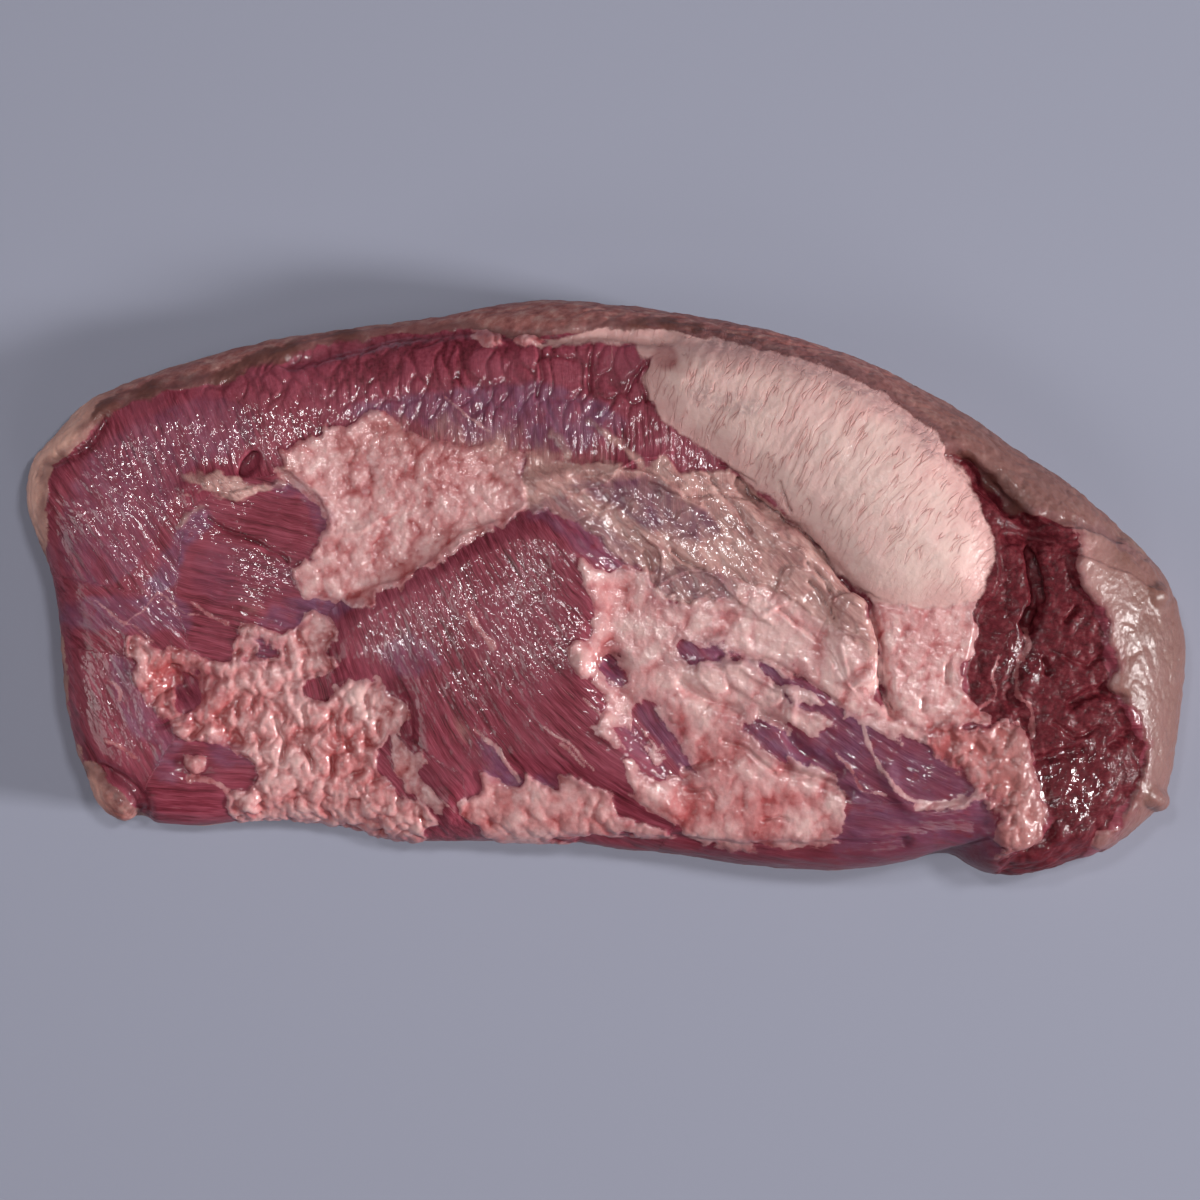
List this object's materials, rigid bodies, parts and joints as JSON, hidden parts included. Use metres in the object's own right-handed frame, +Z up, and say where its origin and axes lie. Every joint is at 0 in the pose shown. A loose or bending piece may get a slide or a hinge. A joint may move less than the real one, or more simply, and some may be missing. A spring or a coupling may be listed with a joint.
{
  "type": "whole packer brisket",
  "caption": "Raw whole packer beef brisket lying on its fat cap, flat end thin, point end thick, with a hard fat pad and soft fat over the lean.",
  "frame": {"origin": "middle of the underside of the brisket's box, on the surface it lies on", "axes": "+X along the length towards the thick point, +Y across towards the side with the hard fat pad, +Z up through the thickness"},
  "size_m": [0.5, 0.2465, 0.0835],
  "materials": {
    "raw_beef": "wet raw lean meat with pale soft and hard fat"
  },
  "bodies": {
    "root": {"brisket": "raw_beef"}
  },
  "joints": []
}
